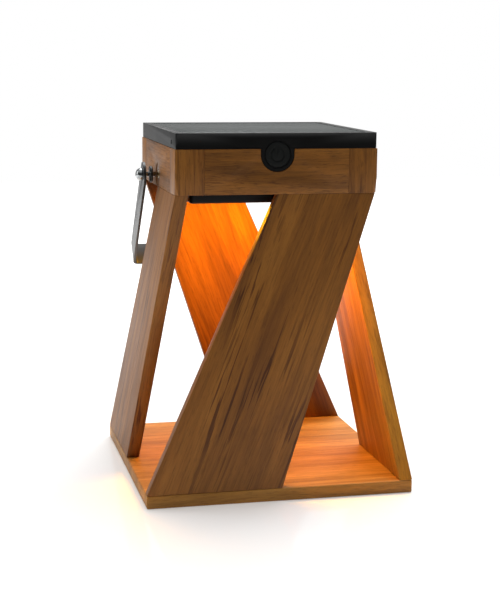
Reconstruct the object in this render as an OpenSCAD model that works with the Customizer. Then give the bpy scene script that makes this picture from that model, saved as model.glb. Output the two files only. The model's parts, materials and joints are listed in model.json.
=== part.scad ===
// Solar lantern. A timber base board carries four leaning boards that twist up to a square
// timber collar. A solar lamp module drops into the collar and shines down on the base.
// A flat strap handle swings on two screws at the collar's sides.
// The origin is the centre of the base board's underside, +Z is up and -Y is the button side.

/* [Base] */
// Side of the square base board
base_side = 267; // [222:1:321]
// Thickness of the base board
base_t = 13; // [10.5:0.5:20]

/* [Leaning boards] */
// Height from the base board to the collar
leg_h = 283.5; // [236:0.5:341]
// Thickness of a leaning board
leg_t = 13; // [11:0.5:15.5]
// Width of a board's foot along the base board's edge
leg_foot_w = 133.5; // [111:0.5:160]
// Width of a board's head along the collar's edge
leg_head_w = 98.5; // [82:0.5:118]
// Distance from a board's head to the collar's corner
leg_head_inset = 1.5; // [0:0.5:6]

/* [Collar] */
// Outer side of the square collar
collar_side = 200; // [190:1:240]
// Height of the collar
collar_h = 43.5; // [42:0.5:52]
// Thickness of the collar's rails
rail_t = 17; // [15:0.5:20.5]
// Side of a square corner post
post_w = 28.5; // [25:0.5:34.5]
// Width of the corner chamfer at the collar's underside
corner_cut = 3; // [1:0.5:4]
// Height at which the corner chamfer runs out
corner_cut_h = 16; // [8:1:22]

/* [Joinery] */
// Diameter of the dowels in the collar's corners and the boards' heads
dowel_d = 6; // [5:0.5:7]
// Length of a dowel between a rail and a post
rail_dowel_l = 24; // [18:1:26]
// Length of a dowel between a board's head and the collar
head_dowel_l = 30; // [24:1:34]
// Distance from a board's head edges to its dowels
head_dowel_inset = 24; // [18:1:30]
// Distance from the collar's outer face to its dowels
dowel_back = 7; // [6:0.5:8]
// Shank diameter of the screws up into the boards' feet
base_screw_d = 4; // [3:0.5:5]
// Length of the screws up into the boards' feet
base_screw_l = 35; // [28:1:40]
// Distance from a board's foot edges to its screws
foot_screw_inset = 30; // [24:1:36]

/* [Handle] */
// Width of the handle's flat strap
strap_w = 25; // [20:1:30]
// Thickness of the handle's flat strap
strap_t = 2.5; // [2:0.5:3]
// Length of an arm, from its pivot to the outer face of the cross bar
handle_len = 157; // [148:1:190]
// Distance from the collar to an arm's inner face at its pivot
arm_out = 12.9; // [11:0.2:15]
// Outer radius of the two bends
bend_r = 6; // [5:0.5:9]
// Height of the pivots above the collar's underside
pivot_up = 12; // [10:0.5:14.5]

/* [Pivot hardware] */
// Shank diameter of a pivot screw
pivot_d = 5; // [4:0.5:6]
// Diameter of a pivot screw's domed head
pivot_head_d = 12.6; // [10.6:0.2:15]
// Height of the straight part of the head
pivot_head_h = 1.5; // [1:0.25:2]
// Height of the dome on the head
pivot_dome_h = 5.2; // [4:0.2:5.2]
// Outer diameter of a black washer on the shank
washer_d = 16.6; // [13.8:0.2:20]
// Thickness of the black washer
washer_t = 2.6; // [2:0.2:3.2]
// Distance from the collar to the black washer
washer_out = 5.6; // [4:0.2:6.4]
// Diameter of the shallow counterbore around a pivot
dish_d = 23; // [19:0.5:23]
// Depth of the shallow counterbore
dish_depth = 1; // [0.5:0.25:1.5]
// Outer diameter of a threaded insert
insert_d = 8; // [7:0.5:9.5]
// Length of a threaded insert
insert_l = 11; // [9:0.5:12]

/* [Rim and panel] */
// Height of the rim
rim_h = 15; // [14:0.5:18]
// Distance of the rim behind the collar's faces
rim_inset = 0.7; // [0.2:0.1:1.5]
// Wall thickness of the rim
rim_wall = 3; // [2.5:0.5:3.5]
// Width of the border around the panel
border_w = 8.5; // [7:0.5:10]
// Depth of the glass below the border
glass_drop = 0.3; // [0.2:0.1:1]
// Thickness of the panel's glass
glass_t = 3.2; // [2.8:0.2:3.8]
// Number of solar cell strips in a column
cell_rows = 6; // [4:1:8]

/* [Lamp housing] */
// Gap between the lamp housing and the collar's opening
tray_gap = 1; // [0.5:0.25:2]
// Distance that the housing hangs below the collar
tray_drop = 10; // [8:0.5:12]
// Wall thickness of the housing
tray_wall = 2.5; // [2:0.5:3]
// Corner radius of the housing
tray_r = 4; // [3:0.5:5]
// Distance from the housing's outer face to the square light window
window_margin = 20; // [19:0.5:24]
// Thickness of the diffuser
diffuser_t = 2.5; // [2:0.5:3]

/* [Button] */
// Diameter of the power button
button_d = 24; // [20:0.5:26]
// Margin of the tab around the button
tab_margin = 4.2; // [3.8:0.2:5]
// Travel of the power button
button_travel = 1; // [0.6:0.1:1.2]

/* [Hidden] */
$fn = 48;

// Clearances
seat_gap = 0.3;        // rim above the collar
notch_gap = 0.5;       // tab in the rail's notch
button_gap = 0.3;      // button in its bore
run_gap = 0.08;        // handle bore around a pivot shank, in radius
rest_gap = 0.3;        // handle off the board it rests on
side_gap = 0.6;        // handle's arms off the boards beside them
head_gap = 0.3;        // handle off a pivot screw's head
panel_gap = 0.3;       // glass in the rim's pocket
reach = 1;             // how far a cutter runs past a face

// Heights and half widths
collar_z = base_t + leg_h;
collar_top = collar_z + collar_h;
base_half = base_side / 2;
collar_half = collar_side / 2;
opening_half = collar_half - rail_t;
lean = atan2(base_half - collar_half, leg_h);
slope_l = norm([base_half - collar_half, leg_h]);
dowel_r = dowel_d / 2;
rail_dowel_low = head_dowel_l / 2 + dowel_d;
rail_dowel_high = collar_h - dowel_d - 4;
foot_left = -base_half;
foot_right = foot_left + leg_foot_w;
head_right = collar_half - leg_head_inset;
head_left = head_right - leg_head_w;

// Pivots and handle
pivot_z = collar_z + pivot_up;
pivot_r = pivot_d / 2;
inner_len = handle_len - strap_t;
contact = rest_gap + collar_half * cos(lean) - pivot_up * sin(lean);
rest_angle = lean + asin(contact / norm([inner_len, strap_w / 2])) + atan2(strap_w / 2, inner_len);
handle_span = collar_side + 2 * (arm_out + strap_t);

// Where a resting arm's lower edge leaves the board beside it, and the arms' lean that clears it
board_slant = (head_right - foot_right) / leg_h;
leave_rise = cos(rest_angle) - board_slant * sin(rest_angle);
leave_reach = foot_right + board_slant * (pivot_up + leg_h) + strap_w / 2 * leave_rise;
leave_s = leave_reach / (sin(rest_angle) + board_slant * cos(rest_angle));
leave_drop = leave_s * cos(rest_angle) + strap_w / 2 * sin(rest_angle) - pivot_up;
arm_lean = atan2(arm_out - leave_drop * tan(lean) - side_gap, leave_s);
head_x = handle_span / 2 + tan(abs(arm_lean)) * pivot_head_d / 2 + head_gap;

// Rim and panel
rim_z = collar_top + seat_gap;
rim_top = rim_z + rim_h;
rim_half = collar_half - rim_inset;
rim_r = 1.5;
pocket_half = rim_half - border_w;
seal_t = 1.2;
seal_w = 3;
back_t = 0.8;
cell_t = seal_t - back_t;
cover_floor_t = 2.5;
pocket_z = rim_top - glass_drop - glass_t - seal_t;
cover_floor_z = pocket_z - cover_floor_t;
glass_half = pocket_half - panel_gap;
back_half = glass_half - seal_w - panel_gap;
cell_gap = 2;
cell_margin = 4;

// Lamp housing and what it holds
tray_half = opening_half - tray_gap;
tray_in = tray_half - tray_wall;
tray_z = collar_z - tray_drop;
tray_floor_t = 3;
floor_z = tray_z + tray_floor_t;
tray_seal_t = 1.5;
tray_top = cover_floor_z - tray_seal_t;
boss_r = 5;
boss_gap = 2.5;
boss_at = tray_in - boss_r - boss_gap;
screw_r = 1.6;
screw_hole_r = 1.8;
screw_head_r = 3.4;
screw_head_h = 2;
head_room = 0.4;
tray_screw_l = 34;
mix_depth = 14;
shelf_z = floor_z + mix_depth;
shelf_t = 2.5;
deck_z = shelf_z + shelf_t;
shelf_gap = 0.5;
shelf_half = tray_in - shelf_gap;
window = 2 * (tray_half - window_margin);
diffuser_lap = 4.5;
led_board_gap = 3;
led_board_half = window / 2 - led_board_gap;
led_board_t = 1.6;
chip_w = 3.5;
chip_t = 0.8;
chip_margin = 11;
chip_pitch = (led_board_half - chip_margin) / 2;
cell_r = 9.2;
cell_l = 65.2;
battery_pitch = 19;
battery_gap = 3.3;
battery_y = tray_in - battery_gap - cell_r - 3 * battery_pitch;
battery_wall = 1.5;
battery_z = deck_z + battery_wall + cell_r;
board_size = [90, 60];
board_y = -38;
board_t = 1.6;
standoff_h = 7.4;
standoff_r = 3;
standoff_inset = 4;
board_z = deck_z + standoff_h;
board_top = board_z + board_t;
socket_h = 6;
socket_x = 32;
lead_socket_y = 18;
socket_y = board_y + lead_socket_y;
switch_socket_y = -22;
wire_r = 0.8;
wire_pitch = 4;
lamp_hole_x = -board_size[0] / 2 - 6;

// Button and switch
button_r = button_d / 2;
flange_r = button_r + 1;
cavity_r = flange_r + 0.4;
tab_r = button_r + tab_margin;
button_z = cover_floor_z - cavity_r - 0.1;
button_front = -rim_half;
flange_y = button_front + rim_wall + button_gap;
flange_t = 1.5;
stem_l = 0.7;
stem_r = 3;
stem_end = flange_y + flange_t + stem_l;
plunger_y = stem_end + button_travel + 0.3;
plunger_l = 1;
switch_t = 3.5;
switch_board_y = plunger_y + plunger_l + switch_t;
switch_board_t = 1.6;
tab_back = -tray_half - 1.5;

// Charge light in the rim's left wall
window_w = 5;
window_h = 4.4;
window_y = -rim_half + 22.6;
window_z = cover_floor_z - window_h;
window_depth = 5.5;

timber = "peru";
end_timber = "sienna";
black = [0.1, 0.1, 0.1];
dark_metal = [0.4, 0.41, 0.42];
board_green = [0.1, 0.35, 0.2];

// Four copies, one for each side
module each_side() {
    for (turn = [0 : 90 : 270])
        rotate([0, 0, turn]) children();
}

// A copy at each side's pivot, with local +Z pointing out of the collar along X
module at_pivots() {
    for (side = [-90, 90])
        translate([0, 0, pivot_z])
            rotate([0, side, 0])
                children();
}

// A square with round corners, centred
module round_square(half, r) {
    square([2 * half, 2 * (half - r)], center = true);
    square([2 * (half - r), 2 * half], center = true);
    for (x = [-1, 1])
        for (y = [-1, 1])
            translate([x * (half - r), y * (half - r)]) circle(r);
}

// A square plate, centred, from z up
module plate(half, z, t) {
    translate([-half, -half, z]) cube([2 * half, 2 * half, t]);
}

// A square ring
module ring(outer, inner, z, t) {
    difference() {
        plate(outer, z, t);
        plate(inner, z - reach, t + 2 * reach);
    }
}

// A round bar along +Y from y0 to y1
module bar_y(r, y0, y1) {
    translate([0, y0, 0]) rotate([-90, 0, 0]) cylinder(r = r, h = y1 - y0);
}

// A thin wire through points that turn square corners, with a bead at each corner
module wire(points) {
    for (i = [0 : len(points) - 2]) {
        run = points[i + 1] - points[i];
        translate(points[i])
            rotate([0, acos(run[2] / norm(run)), atan2(run[1], run[0])])
                cylinder(r = wire_r, h = norm(run));
    }
    for (i = [1 : 1 : len(points) - 2])
        translate(points[i]) sphere(1.4 * wire_r);
}

// ---- Base and leaning boards ----

module base_board() {
    color(timber)
        difference() {
            plate(base_half, 0, base_t);
            base_screws();
        }
}

// Where a long edge of the front board is, at a distance v up its slope
function edge_at(foot, head, v) = foot + (head - foot) * v / slope_l;

// The front board: an outline in its own leaning plane, cut level at foot and head
module leg_blank() {
    over = 2 * leg_t;
    low = -over;
    high = slope_l + over;
    intersection() {
        translate([0, -base_half, base_t])
            rotate([90 - lean, 0, 0])
                translate([0, 0, -leg_t])
                    linear_extrude(leg_t)
                        polygon([
                            [edge_at(foot_left, head_left, low), low],
                            [edge_at(foot_right, head_right, low), low],
                            [edge_at(foot_right, head_right, high), high],
                            [edge_at(foot_left, head_left, high), high]]);
        translate([-base_side, -base_side, base_t]) cube([2 * base_side, base_side, leg_h]);
    }
}

module leg() {
    color(timber)
        difference() {
            leg_blank();
            front_head_dowels();
            front_base_screws();
        }
}

module front_leg() { leg(); }
module left_leg() { rotate([0, 0, -90]) leg(); }
module rear_leg() { rotate([0, 0, 180]) leg(); }
module right_leg() { rotate([0, 0, 90]) leg(); }

module front_head_dowels() {
    for (x = [head_left + head_dowel_inset, head_right - head_dowel_inset])
        translate([x, -collar_half + dowel_back, collar_z - head_dowel_l / 2])
            cylinder(r = dowel_r, h = head_dowel_l);
}

module front_base_screws() {
    shank_r = base_screw_d / 2;
    sink_h = shank_r;
    middle = leg_t / 2 / cos(lean) + tan(lean) * (base_screw_l - base_t) / 2;
    for (x = [foot_left + foot_screw_inset, foot_right - foot_screw_inset])
        translate([x, -base_half + middle, 0]) {
            cylinder(r1 = 2 * shank_r, r2 = shank_r, h = sink_h);
            cylinder(r = shank_r, h = base_screw_l);
        }
}

module head_dowels() { color("burlywood") each_side() front_head_dowels(); }
module base_screws() { color("silver") each_side() front_base_screws(); }

// ---- Collar ----

module rail_dowels() {
    color("burlywood")
        each_side()
            for (side = [-1, 1])
                for (up = [rail_dowel_low, rail_dowel_high])
                    translate([side * (collar_half - post_w), -collar_half + dowel_back, collar_z + up])
                        rotate([0, 90, 0])
                            cylinder(r = dowel_r, h = rail_dowel_l, center = true);
}

// The slanting cut at the foot of a corner post
module corner_chamfer() {
    back = corner_cut / sqrt(2);
    size = 4 * corner_cut_h;
    translate([-collar_half, -collar_half, collar_z + corner_cut_h])
        rotate([0, 0, -45])
            rotate([atan2(back, corner_cut_h), 0, 0])
                translate([-size / 2, -size, -size]) cube(size);
}

// The front left post, notched for the module's opening
module post() {
    color(end_timber)
        difference() {
            translate([-collar_half, -collar_half, collar_z]) cube([post_w, post_w, collar_h]);
            plate(opening_half, collar_z - reach, collar_h + 2 * reach);
            corner_chamfer();
            rail_dowels();
            head_dowels();
        }
}

module front_left_post() { post(); }
module rear_left_post() { rotate([0, 0, -90]) post(); }
module rear_right_post() { rotate([0, 0, 180]) post(); }
module front_right_post() { rotate([0, 0, 90]) post(); }

// A rail in the front place
module rail() {
    half = collar_half - post_w;
    difference() {
        translate([-half, -collar_half, collar_z]) cube([2 * half, rail_t, collar_h]);
        rail_dowels();
        head_dowels();
    }
}

module front_rail() {
    r = tab_r + notch_gap;
    color(timber)
        difference() {
            rail();
            translate([0, 0, button_z]) bar_y(r, -collar_half - reach, -opening_half + reach);
            translate([-r, -collar_half - reach, button_z])
                cube([2 * r, rail_t + 2 * reach, collar_top - button_z + reach]);
        }
}

// What is cut from a side rail for its insert and screw
module pivot_cut() {
    at_pivots() {
        translate([0, 0, collar_half - dish_depth]) cylinder(d = dish_d, h = dish_depth + reach);
        translate([0, 0, collar_half - dish_depth - insert_l]) cylinder(d = insert_d, h = insert_l + reach);
    }
}

module side_rail(turn) {
    color(timber)
        difference() {
            rotate([0, 0, turn]) rail();
            pivot_cut();
        }
}

module left_rail() { side_rail(-90); }
module right_rail() { side_rail(90); }
module rear_rail() { color(timber) rotate([0, 0, 180]) rail(); }

// ---- Handle and its pivots ----

module pivot_inserts() {
    color("gold")
        at_pivots()
            translate([0, 0, collar_half - dish_depth - insert_l])
                difference() {
                    cylinder(d = insert_d, h = insert_l);
                    translate([0, 0, -reach]) cylinder(r = pivot_r, h = insert_l + 2 * reach);
                }
}

module pivot_screws() {
    thread_l = insert_l - 1;
    shank_from = collar_half - dish_depth - thread_l;
    dome_r = (pow(pivot_head_d / 2, 2) + pow(pivot_dome_h, 2)) / (2 * pivot_dome_h);
    key_w = 4;
    key_depth = 3;
    color("white")
        at_pivots()
            difference() {
                union() {
                    translate([0, 0, shank_from]) cylinder(r = pivot_r, h = head_x + pivot_head_h - shank_from);
                    translate([0, 0, head_x]) cylinder(d = pivot_head_d, h = pivot_head_h);
                    intersection() {
                        translate([0, 0, head_x + pivot_head_h]) cylinder(d = pivot_head_d, h = pivot_dome_h);
                        translate([0, 0, head_x + pivot_head_h + pivot_dome_h - dome_r]) sphere(dome_r);
                    }
                }
                translate([0, 0, head_x + pivot_head_h + pivot_dome_h - key_depth])
                    cylinder(r = key_w / sqrt(3), h = key_depth + reach, $fn = 6);
            }
}

module pivot_washers() {
    color(black)
        at_pivots()
            translate([0, 0, collar_half + washer_out])
                difference() {
                    cylinder(d = washer_d, h = washer_t);
                    translate([0, 0, -reach]) cylinder(r = pivot_r, h = washer_t + 2 * reach);
                }
}

// Points of one bend, from the arm's face round to the cross bar's face
function bend_points(r) = [
    for (i = [0 : 8])
        let (a = 180 - arm_lean - (90 - arm_lean) * i / 8)
            [-bend_x() + r * cos(a), handle_len - bend_r + r * sin(a)]];

// Distance of a bend's centre from the middle
function bend_x() = handle_span / 2 - tan(arm_lean) * (handle_len - bend_r) - bend_r / cos(arm_lean);

// One face of the left arm, from its free end to the cross bar
function arm_face(inset) = concat(
    [[-handle_span / 2 - tan(arm_lean) * strap_w / 2 + inset / cos(arm_lean), -strap_w / 2]],
    bend_points(bend_r - inset));

function mirrored(points) = [for (i = [len(points) - 1 : -1 : 0]) [-points[i][0], points[i][1]]];
function reversed(points) = [for (i = [len(points) - 1 : -1 : 0]) points[i]];

// The strap's outline, seen along its width
function strap_outline() = concat(
    arm_face(0), mirrored(arm_face(0)),
    reversed(concat(arm_face(strap_t), mirrored(arm_face(strap_t)))));

module carry_handle() {
    across = handle_span + 2 * strap_w;
    color(dark_metal)
        translate([0, 0, pivot_z])
            rotate([rest_angle - 90, 0, 0])
                difference() {
                    intersection() {
                        translate([0, 0, -strap_w / 2]) linear_extrude(strap_w) polygon(strap_outline());
                        union() {
                            rotate([0, 90, 0]) cylinder(d = strap_w, h = across, center = true);
                            translate([-across / 2, 0, -strap_w]) cube([across, 2 * handle_len, 2 * strap_w]);
                        }
                    }
                    rotate([0, 90, 0]) cylinder(r = pivot_r + run_gap, h = across, center = true);
                }
}

// ---- Rim and solar panel ----

// The hollow rim with its panel pocket
module rim_shell() {
    difference() {
        translate([0, 0, rim_z]) linear_extrude(rim_h) round_square(rim_half, rim_r);
        plate(rim_half - rim_wall, rim_z - reach, cover_floor_z - rim_z + reach);
        plate(pocket_half, pocket_z, rim_h);
    }
}

// The U-shaped tab that hangs in the front rail's notch
module tab() {
    difference() {
        translate([0, 0, button_z]) bar_y(tab_r, button_front, tab_back);
        translate([-2 * tab_r, button_front - reach, button_z]) cube(4 * tab_r);
    }
    translate([-tab_r, button_front, button_z])
        cube([2 * tab_r, tab_back - button_front, cover_floor_z - button_z + reach]);
}

module top_cover() {
    lip_r = flange_r + 0.5;
    lip_depth = 0.8;
    post_bottom = deck_z;
    color(black)
        difference() {
            union() {
                rim_shell();
                tab();
                for (x = [-1, 1])
                    for (y = [-1, 1])
                        translate([x * boss_at, y * boss_at, post_bottom])
                            cylinder(r = boss_r, h = cover_floor_z - post_bottom + reach);
            }
            translate([0, 0, button_z]) {
                bar_y(lip_r, button_front - reach, button_front + lip_depth);
                bar_y(button_r + button_gap, button_front - reach, button_front + rim_wall + reach);
                bar_y(cavity_r, button_front + rim_wall, tab_back + reach);
            }
            tray_screws();
            charge_window();
            translate([0, board_y, cover_floor_z - reach])
                cylinder(r = wire_pitch, h = cover_floor_t + 2 * reach);
        }
}

module panel_seal() { color("dimgray") ring(glass_half, glass_half - seal_w, pocket_z, seal_t); }
module panel_back() { color("white") plate(back_half, pocket_z, back_t); }

module solar_cells() {
    span = 2 * (back_half - cell_margin);
    cell_x = (span - cell_gap) / 2;
    cell_y = (span - cell_gap * (cell_rows - 1)) / cell_rows;
    color("midnightblue")
        for (col = [0, 1])
            for (row = [0 : cell_rows - 1])
                translate([
                    -span / 2 + col * (cell_x + cell_gap),
                    -span / 2 + row * (cell_y + cell_gap),
                    pocket_z + back_t])
                    cube([cell_x, cell_y, cell_t]);
}

module panel_glass() { color([0.3, 0.35, 0.4, 0.5]) plate(glass_half, pocket_z + seal_t, glass_t); }

// ---- Lamp housing ----

module lamp_tray() {
    wall_h = tray_top - tray_z;
    color(black)
        difference() {
            union() {
                difference() {
                    translate([0, 0, tray_z]) linear_extrude(wall_h) round_square(tray_half, tray_r);
                    plate(tray_in, floor_z, wall_h);
                }
                for (x = [-1, 1])
                    for (y = [-1, 1])
                        translate([x * boss_at, y * boss_at, floor_z - reach])
                            cylinder(r = boss_r, h = mix_depth + reach);
            }
            plate(window / 2, tray_z - reach, tray_floor_t + 2 * reach);
            for (x = [-1, 1])
                for (y = [-1, 1])
                    translate([x * boss_at, y * boss_at, tray_z - reach]) {
                        cylinder(r = screw_head_r + head_room, h = tray_floor_t + reach);
                        cylinder(r = screw_hole_r, h = wall_h);
                    }
            translate([0, 0, button_z]) bar_y(wire_pitch, -tray_half - reach, -tray_in + reach);
        }
}

module tray_seal() { color("dimgray") ring(tray_half - 1, tray_in, tray_top, tray_seal_t); }

module tray_screws() {
    color("silver")
        for (x = [-1, 1])
            for (y = [-1, 1])
                translate([x * boss_at, y * boss_at, floor_z - screw_head_h]) {
                    cylinder(r = screw_head_r, h = screw_head_h);
                    cylinder(r = screw_r, h = tray_screw_l);
                }
}

module diffuser() { color([1, 0.9, 0.7]) plate(window / 2 + diffuser_lap, floor_z, diffuser_t); }
module led_board() { color("white") plate(led_board_half, shelf_z - led_board_t, led_board_t); }

module led_chips() {
    color("yellow")
        for (i = [-2 : 2])
            for (j = [-2 : 2])
                translate([i * chip_pitch, j * chip_pitch, shelf_z - led_board_t - chip_t / 2])
                    cube([chip_w, chip_w, chip_t], center = true);
}

// ---- Inside the lamp housing ----

// Centres of the control board's four screws
module at_standoffs() {
    for (x = [-1, 1])
        for (y = [-1, 1])
            translate([
                x * (board_size[0] / 2 - standoff_inset),
                board_y + y * (board_size[1] / 2 - standoff_inset),
                0])
                children();
}

module inner_shelf() {
    color("gainsboro")
        difference() {
            union() {
                plate(shelf_half, shelf_z, shelf_t);
                at_standoffs() translate([0, 0, deck_z]) cylinder(r = standoff_r, h = standoff_h);
            }
            board_screws();
            for (x = [-1, 1])
                for (y = [-1, 1])
                    translate([x * boss_at, y * boss_at, shelf_z - reach])
                        cylinder(r = screw_hole_r, h = shelf_t + 2 * reach);
            translate([lamp_hole_x, board_y, shelf_z - reach])
                cylinder(r = wire_pitch, h = shelf_t + 2 * reach);
        }
}

// The four cells, or their places in the cradle
module battery_cells() {
    color("royalblue")
        for (i = [0 : 3])
            translate([0, battery_y + i * battery_pitch, battery_z])
                rotate([0, 90, 0])
                    cylinder(r = cell_r, h = cell_l, center = true);
}

module battery_cradle() {
    half_x = cell_l / 2 - 4;
    color("darkgray")
        difference() {
            translate([-half_x, battery_y - cell_r, deck_z])
                cube([2 * half_x, 3 * battery_pitch + 2 * cell_r, battery_z - deck_z - 3]);
            battery_cells();
        }
}

module control_board() {
    color(board_green)
        difference() {
            translate([-board_size[0] / 2, board_y - board_size[1] / 2, board_z])
                cube([board_size[0], board_size[1], board_t]);
            board_screws();
        }
}

module board_screws() {
    color("silver")
        at_standoffs() {
            translate([0, 0, board_top]) cylinder(r = 2.4, h = 1.6);
            translate([0, 0, board_top - 7]) cylinder(r = 1.25, h = 7);
        }
}

// Sockets, chips and tall parts on the control board
module board_parts() {
    color("dimgray")
        translate([0, board_y, board_top]) {
            for (spot = [[0, 0], [0, switch_socket_y], [socket_x, lead_socket_y], [-socket_x, lead_socket_y]])
                translate([spot[0] - 5, spot[1] - 3, 0]) cube([10, 6, socket_h]);
            for (x = [16, 26])
                translate([x, -8, 0]) cylinder(r = 4, h = 11);
            translate([-18, -6, 0]) cylinder(r = 6, h = 5);
            for (spot = [[-34, -8], [12, 12]])
                translate([spot[0], spot[1], 0]) cube([8, 8, 1.5]);
        }
}

// ---- Switch and charge light ----

module switch_board() {
    color(board_green)
        translate([0, 0, button_z]) bar_y(cavity_r, switch_board_y, switch_board_y + switch_board_t);
}

module tact_switch() {
    color("gray")
        translate([0, 0, button_z]) {
            bar_y(1.75, plunger_y, plunger_y + plunger_l);
            translate([-3, plunger_y + plunger_l, -3]) cube([6, switch_t, 6]);
        }
}

module charge_window() {
    color([0.2, 0.2, 0.22])
        translate([-rim_half, window_y - window_w / 2, window_z]) cube([window_depth, window_w, window_h]);
}

module charge_led() {
    color(board_green)
        translate([-rim_half + window_depth, window_y - window_w, window_z])
            cube([1.2, 2 * window_w, window_h]);
}

// ---- Wires inside the module ----

module panel_leads() {
    color("red")
        for (x = [-wire_pitch / 2, wire_pitch / 2])
            wire([[x, board_y, pocket_z], [x, board_y, board_top + socket_h]]);
}

module battery_leads() {
    top = board_top + socket_h;
    end_x = cell_l / 2;
    color("red")
        for (step = [0, wire_pitch])
            wire([
                [end_x, battery_y + step, battery_z],
                [end_x + 6 + step, battery_y + step, battery_z],
                [end_x + 6 + step, battery_y + step, top + 4 + step],
                [socket_x + step - 2, battery_y + step, top + 4 + step],
                [socket_x + step - 2, socket_y, top + 4 + step],
                [socket_x + step - 2, socket_y, top]]);
}

module lamp_leads() {
    top = board_top + socket_h;
    color("orange")
        for (step = [0, wire_pitch])
            wire([
                [lamp_hole_x + step - 2, board_y, shelf_z],
                [lamp_hole_x + step - 2, board_y, top + 4 + step],
                [lamp_hole_x + step - 2, socket_y, top + 4 + step],
                [-socket_x + step - 2, socket_y, top + 4 + step],
                [-socket_x + step - 2, socket_y, top]]);
}

module switch_leads() {
    color("orange")
        for (x = [-wire_pitch / 2, wire_pitch / 2])
            wire([
                [x, switch_board_y + switch_board_t, button_z],
                [x, board_y + switch_socket_y, button_z],
                [x, board_y + switch_socket_y, board_top + socket_h]]);
}

// ---- Power button ----

// A standby mark: an open ring with an upright bar
module standby_mark() {
    mark_r = 6.5;
    line_w = 1.2;
    depth = 0.5;
    gap_w = 5;
    translate([0, 0, button_z]) {
        difference() {
            bar_y(mark_r + line_w / 2, button_front - reach, button_front + depth);
            bar_y(mark_r - line_w / 2, button_front - 2 * reach, button_front + depth + reach);
            translate([-gap_w / 2, button_front - 2 * reach, 0]) cube([gap_w, 4 * reach, 2 * mark_r]);
        }
        translate([-line_w / 2, button_front - reach, 1]) cube([line_w, depth + reach, mark_r]);
    }
}

module power_button() {
    color([0.1, 0.13, 0.13])
        difference() {
            translate([0, 0, button_z]) {
                bar_y(button_r, button_front, flange_y);
                bar_y(flange_r, flange_y, flange_y + flange_t);
                bar_y(stem_r, flange_y + flange_t, stem_end);
            }
            standby_mark();
        }
}

base_board();
front_leg();
left_leg();
rear_leg();
right_leg();
front_left_post();
front_right_post();
rear_left_post();
rear_right_post();
front_rail();
left_rail();
rear_rail();
right_rail();
rail_dowels();
head_dowels();
base_screws();
pivot_inserts();
pivot_screws();
pivot_washers();
carry_handle();
top_cover();
panel_seal();
panel_back();
solar_cells();
panel_glass();
lamp_tray();
tray_seal();
tray_screws();
diffuser();
led_board();
led_chips();
inner_shelf();
battery_cradle();
battery_cells();
control_board();
board_parts();
board_screws();
switch_board();
tact_switch();
charge_window();
charge_led();
panel_leads();
battery_leads();
lamp_leads();
switch_leads();
power_button();
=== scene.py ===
"""The looks of a solar lantern: timber frame, solar lamp module, power button and strap handle.

Every length is in metres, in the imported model's own frame. Each sub-assembly is a class that models
its pieces and dresses them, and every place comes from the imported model's boxes.
"""

import json
import logging
import math
from collections.abc import Callable
from dataclasses import dataclass
from enum import Enum

import bpy
from bpy.types import Material, Node, NodeSocket, NodeTree, Object
from mathutils import Matrix, Vector

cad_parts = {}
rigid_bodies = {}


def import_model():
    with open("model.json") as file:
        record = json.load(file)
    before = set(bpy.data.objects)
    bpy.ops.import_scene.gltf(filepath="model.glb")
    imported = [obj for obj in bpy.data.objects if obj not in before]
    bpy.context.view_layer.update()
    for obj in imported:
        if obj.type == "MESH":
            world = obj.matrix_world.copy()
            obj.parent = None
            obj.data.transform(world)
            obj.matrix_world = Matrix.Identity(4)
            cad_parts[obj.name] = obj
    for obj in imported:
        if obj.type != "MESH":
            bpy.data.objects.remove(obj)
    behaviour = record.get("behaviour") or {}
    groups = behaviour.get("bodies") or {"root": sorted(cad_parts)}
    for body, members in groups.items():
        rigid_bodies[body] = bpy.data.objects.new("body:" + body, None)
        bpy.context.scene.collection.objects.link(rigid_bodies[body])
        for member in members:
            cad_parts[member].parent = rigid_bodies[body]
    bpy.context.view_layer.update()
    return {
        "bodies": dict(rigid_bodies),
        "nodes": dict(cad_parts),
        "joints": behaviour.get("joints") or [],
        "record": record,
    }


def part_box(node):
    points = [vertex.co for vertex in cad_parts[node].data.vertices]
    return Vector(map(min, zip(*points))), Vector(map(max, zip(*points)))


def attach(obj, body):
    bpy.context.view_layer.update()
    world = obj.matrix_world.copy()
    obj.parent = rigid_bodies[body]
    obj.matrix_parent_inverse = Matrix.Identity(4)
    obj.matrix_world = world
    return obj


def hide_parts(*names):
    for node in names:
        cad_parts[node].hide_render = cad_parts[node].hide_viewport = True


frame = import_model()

MM = 0.001
NEAR = 0.1 * MM
NODES = frame["nodes"]
BODIES = frame["bodies"]
MOUNTS = {mount["name"]: mount for mount in frame["record"]["mounts"]}
JOINTS = {joint["name"]: joint for joint in frame["joints"]}
EdgeTest = Callable[[Vector, Vector], bool]
log = logging.getLogger("lantern")


class Body(Enum):
    """The bodies that pieces ride on."""

    STAND = "stand"
    MODULE = "lamp_module"
    BUTTON = "button"
    HANDLE = "handle"


class Side(Enum):
    """The lantern's four sides, as quarter turns from the button side."""

    FRONT = 0
    RIGHT = 1
    REAR = 2
    LEFT = 3

    @property
    def word(self) -> str:
        """The side's name, as pieces have it."""
        return self.name.lower()

    @property
    def turn(self) -> Matrix:
        """The turn from the button side to this side."""
        return Matrix.Rotation(self.value * math.pi / 2, 3, "Z")


# ---------------------------------------------------------------- modelling by operator


def deselect() -> None:
    """Leaves every object unselected."""
    for thing in bpy.context.selected_objects:
        thing.select_set(False)


def pick(piece: Object) -> None:
    """Makes one piece the only selected object, and the active one.

    Args:
        piece: The piece.
    """
    deselect()
    piece.select_set(True)
    bpy.context.view_layer.objects.active = piece


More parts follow.
